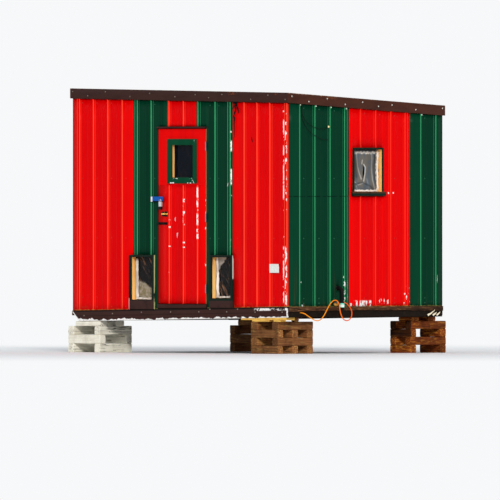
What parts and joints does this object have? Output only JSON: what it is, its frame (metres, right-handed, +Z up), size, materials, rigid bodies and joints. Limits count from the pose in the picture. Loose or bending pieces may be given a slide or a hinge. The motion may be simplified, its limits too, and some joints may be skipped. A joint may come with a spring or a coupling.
{
  "type": "ice fishing hut",
  "caption": "Flat-roofed ice fishing hut of red and green ribbed steel sheets over a hollow timber shell, with a hinged door and small windows, raised on timber cribs.",
  "frame": {"origin": "on the ground at the middle of the whole hut's outer box, without its cords", "axes": "+X along the front wall towards the right wall, +Y from the front wall to the back wall, +Z up; the door is in the front wall, which faces -Y"},
  "size_m": [3.5918, 2.536, 2.8848],
  "materials": {
    "red_sheet": "glossy paint on ribbed steel, chipped",
    "green_sheet": "glossy paint on ribbed steel, chipped",
    "roof_steel": "weathered zinc coating",
    "brown_trim": "matt brown paint, rusty along the edges",
    "green_casing": "painted trim, chipped",
    "dark_casing": "dark stained boards",
    "wall_timber": "plain boarding",
    "floor_timber": "dark weathered timber",
    "fresh_wood": "fresh yellow softwood",
    "pale_crib_wood": "pale weathered timber",
    "brown_crib_wood": "brown weathered timber",
    "orange_crib_wood": "orange-brown timber",
    "pane": "dark glass",
    "window_film": "crumpled clear film",
    "knob_brass": "polished, dull in the hollows",
    "bolt_iron": "black iron",
    "hasp_blue": "blue paint, worn ends",
    "lock_steel": "steel body with a black base",
    "hinge_steel": "dull zinc coating",
    "peg_steel": "dull zinc coating",
    "pipe_rubber": "black pipe",
    "band_plastic": "pale teal wrap",
    "cord_orange": "smooth jacket",
    "wire_black": "thin black jacket"
  },
  "bodies": {
    "hut": {"runners": "floor_timber", "floor_joists": "floor_timber", "floor_deck": "floor_timber", "front_wall_left": "wall_timber", "front_wall_right": "wall_timber", "front_wall_over_door": "wall_timber", "back_wall": "wall_timber", "right_wall": "wall_timber", "left_wall": "wall_timber", "front_red_sheets": "red_sheet", "front_green_sheets": "green_sheet", "right_green_sheets": "green_sheet", "right_red_sheet": "red_sheet", "far_green_sheets": "green_sheet", "far_red_sheets": "red_sheet", "roof_deck": "wall_timber", "roof_sheet": "roof_steel", "fascia_front_and_back": "brown_trim", "fascia_sides": "brown_trim", "skirt_trims": "brown_trim", "rim_boards": "brown_trim", "door_frame": "wall_timber", "drip_cap": "brown_trim", "threshold_trim": "brown_trim", "low_window_casings": "dark_casing", "side_window_casing": "dark_casing", "window_linings": "fresh_wood", "low_window_panes": "pane", "side_window_film": "window_film", "jamb_hinges": "hinge_steel", "front_left_crib_odd_layers": "pale_crib_wood", "front_left_crib_even_layers": "pale_crib_wood", "front_right_crib_odd_layers": "brown_crib_wood", "front_right_crib_even_layers": "brown_crib_wood", "back_right_crib_odd_layers": "orange_crib_wood", "back_right_crib_even_layers": "orange_crib_wood", "back_left_crib_odd_layers": "brown_crib_wood", "back_left_crib_even_layers": "brown_crib_wood", "fresh_plank_on_crib": "fresh_wood", "fresh_blocks_on_crib": "fresh_wood", "drain_pipe": "pipe_rubber", "pipe_band": "band_plastic", "cord_peg": "peg_steel", "orange_cord": "cord_orange", "upper_wire": "wire_black", "lower_wire": "wire_black"},
    "door": {"door_leaf": "wall_timber", "door_panel": "red_sheet", "door_sheet": "red_sheet", "door_window_casing": "green_casing", "door_window_lining": "fresh_wood", "door_window_glass": "pane", "door_hinges": "hinge_steel", "door_knob": "knob_brass", "door_bolt": "bolt_iron", "hasp": "hasp_blue", "padlock": "lock_steel"}
  },
  "joints": [
    {"name": "door_hinge", "type": "hinge", "parent": "hut", "child": "door", "pos_m": [0.403, -1.2195, 1.48], "axis": [0, 0, 1], "range_deg": [0, 105]}
  ]
}
